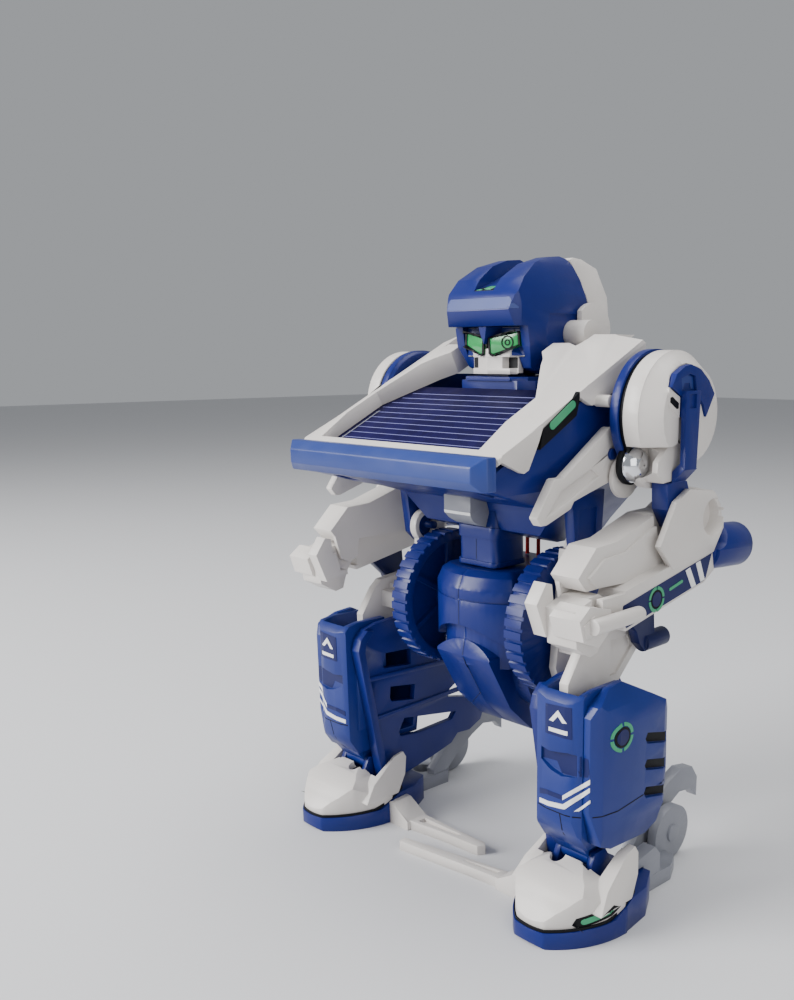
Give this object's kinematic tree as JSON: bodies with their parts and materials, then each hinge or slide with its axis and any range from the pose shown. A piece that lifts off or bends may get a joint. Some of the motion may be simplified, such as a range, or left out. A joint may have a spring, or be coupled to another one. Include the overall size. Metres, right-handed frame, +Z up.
{
  "type": "solar robot kit",
  "caption": "Solar-powered toy walking robot in clipped plastic: slanted solar panel chest, hip wheels on a geared motor, cranked legs, hinged arms, hands and head",
  "frame": {"origin": "centre of the footprint's bounding box, on the ground", "axes": "X to the robot's left, -Y to its front, +Z up; rest pose as pictured"},
  "size_m": [0.1234, 0.0872, 0.17],
  "materials": {
    "blue": "satin blue ABS",
    "light_blue": "satin light blue ABS",
    "navy": "satin navy ABS",
    "white": "satin white ABS",
    "grey": "satin grey ABS",
    "solar_cell": "glossy cell under clear resin",
    "steel": "brushed",
    "gear_nylon": "natural nylon",
    "lens_green": "clear green",
    "wire": "sheathed wire"
  },
  "bodies": {
    "torso": {"gearbox_left": "blue", "gearbox_right": "blue", "waist_column": "blue", "waist_latch": "grey", "motor_can": "steel", "gear_pins": "steel", "case_screws": "steel", "chest_tray": "blue", "front_bar": "light_blue", "chest_frame": "white", "solar_panel": "solar_cell", "chest_back": "blue", "collar": "blue", "struts": "blue", "lead_wires": "wire"},
    "motor_rotor": {"motor_pinion": "steel"},
    "gear_a": {"gear_a": "gear_nylon"},
    "gear_b": {"gear_b": "gear_nylon"},
    "crank": {"crank_shaft": "steel", "wheel_left": "blue", "wheel_right": "blue"},
    "head": {"helmet": "blue", "face_plate": "white", "eye_lenses": "lens_green", "head_crest": "white"},
    "upper_arm_left": {"shoulder_rim_left": "blue", "shoulder_shell_left": "white", "shoulder_lamp_left": "grey", "upper_arm_left": "blue"},
    "forearm_left": {"forearm_left": "white", "forearm_tail_left": "blue", "forearm_pipe_left": "navy"},
    "hand_left": {"hand_left": "white"},
    "spike_left": {"spike_left": "white"},
    "link_left": {"leg_link_left": "white"},
    "shin_left": {"leg_fin_left": "blue", "leg_front_left": "blue", "leg_cover_left": "blue"},
    "foot_left": {"foot_sole_left": "blue", "foot_cover_left": "white", "outrigger_left": "white", "heel_bracket_left": "grey"},
    "upper_arm_right": {"shoulder_rim_right": "blue", "shoulder_shell_right": "white", "shoulder_lamp_right": "grey", "upper_arm_right": "blue"},
    "forearm_right": {"forearm_right": "white", "forearm_tail_right": "blue", "forearm_pipe_right": "navy"},
    "hand_right": {"hand_right": "white"},
    "spike_right": {"spike_right": "white"},
    "link_right": {"leg_link_right": "white"},
    "shin_right": {"leg_fin_right": "blue", "leg_front_right": "blue", "leg_cover_right": "blue"},
    "foot_right": {"foot_sole_right": "blue", "foot_cover_right": "white", "outrigger_right": "white", "heel_bracket_right": "grey"}
  },
  "joints": [
    {"name": "drive_spin", "type": "hinge", "parent": "torso", "child": "crank", "pos_m": [0, 0.0032, 0.072], "axis": [1, 0, 0], "continuous": true},
    {"name": "gear_b_spin", "type": "hinge", "parent": "torso", "child": "gear_b", "pos_m": [0, 0.01018, 0.06415], "axis": [1, 0, 0], "continuous": true},
    {"name": "gear_a_spin", "type": "hinge", "parent": "torso", "child": "gear_a", "pos_m": [0, 0.00114, 0.06123], "axis": [1, 0, 0], "continuous": true},
    {"name": "motor_spin", "type": "hinge", "parent": "torso", "child": "motor_rotor", "pos_m": [0, 0.0102, 0.057], "axis": [1, 0, 0], "continuous": true},
    {"name": "head_turn", "type": "hinge", "parent": "torso", "child": "head", "pos_m": [0, 0.0112, 0.14], "axis": [0, 0, 1], "range_deg": [-20, 20]},
    {"name": "hip_left", "type": "hinge", "parent": "crank", "child": "link_left", "pos_m": [0.0285, 0.0052, 0.072], "axis": [1, 0, 0], "continuous": true},
    {"name": "knee_left", "type": "hinge", "parent": "link_left", "child": "shin_left", "pos_m": [0.046, -0.0108, 0.057], "axis": [1, 0, 0], "range_deg": [-6, 6]},
    {"name": "ankle_left", "type": "hinge", "parent": "shin_left", "child": "foot_left", "pos_m": [0.046, -0.0153, 0.0175], "axis": [1, 0, 0], "range_deg": [-6, 6]},
    {"name": "shoulder_left", "type": "hinge", "parent": "torso", "child": "upper_arm_left", "pos_m": [0.043, 0.0124, 0.1292], "axis": [1, 0, 0], "range_deg": [-60, 0]},
    {"name": "elbow_left", "type": "hinge", "parent": "upper_arm_left", "child": "forearm_left", "pos_m": [0.052, 0.0127, 0.103], "axis": [1, 0, 0], "range_deg": [-27, 0]},
    {"name": "wrist_left", "type": "hinge", "parent": "forearm_left", "child": "hand_left", "pos_m": [0.05, -0.0188, 0.0855], "axis": [1, 0, 0], "range_deg": [-15, 6]},
    {"name": "spike_fold_left", "type": "hinge", "parent": "torso", "child": "spike_left", "pos_m": [0.04, 0.0002, 0.1195], "axis": [1, 0, 0], "range_deg": [-50, 15]},
    {"name": "hip_right", "type": "hinge", "parent": "crank", "child": "link_right", "pos_m": [-0.0285, 0.0012, 0.072], "axis": [1, 0, 0], "continuous": true},
    {"name": "knee_right", "type": "hinge", "parent": "link_right", "child": "shin_right", "pos_m": [-0.046, -0.0108, 0.057], "axis": [1, 0, 0], "range_deg": [-6, 6]},
    {"name": "ankle_right", "type": "hinge", "parent": "shin_right", "child": "foot_right", "pos_m": [-0.046, -0.0153, 0.0175], "axis": [1, 0, 0], "range_deg": [-6, 6]},
    {"name": "shoulder_right", "type": "hinge", "parent": "torso", "child": "upper_arm_right", "pos_m": [-0.043, 0.0124, 0.1292], "axis": [1, 0, 0], "range_deg": [-60, 0]},
    {"name": "elbow_right", "type": "hinge", "parent": "upper_arm_right", "child": "forearm_right", "pos_m": [-0.052, 0.0127, 0.103], "axis": [1, 0, 0], "range_deg": [-27, 0]},
    {"name": "wrist_right", "type": "hinge", "parent": "forearm_right", "child": "hand_right", "pos_m": [-0.05, -0.0188, 0.0855], "axis": [1, 0, 0], "range_deg": [-15, 6]},
    {"name": "spike_fold_right", "type": "hinge", "parent": "torso", "child": "spike_right", "pos_m": [-0.04, 0.0002, 0.1195], "axis": [1, 0, 0], "range_deg": [-50, 15]}
  ],
  "couplings": [
    {"joint": "gear_b_spin", "follows": "drive_spin", "ratio": -3.2},
    {"joint": "gear_a_spin", "follows": "drive_spin", "ratio": 12},
    {"joint": "motor_spin", "follows": "drive_spin", "ratio": -48},
    {"joint": "hip_left", "follows": "drive_spin", "ratio": -1},
    {"joint": "hip_right", "follows": "drive_spin", "ratio": -1}
  ]
}
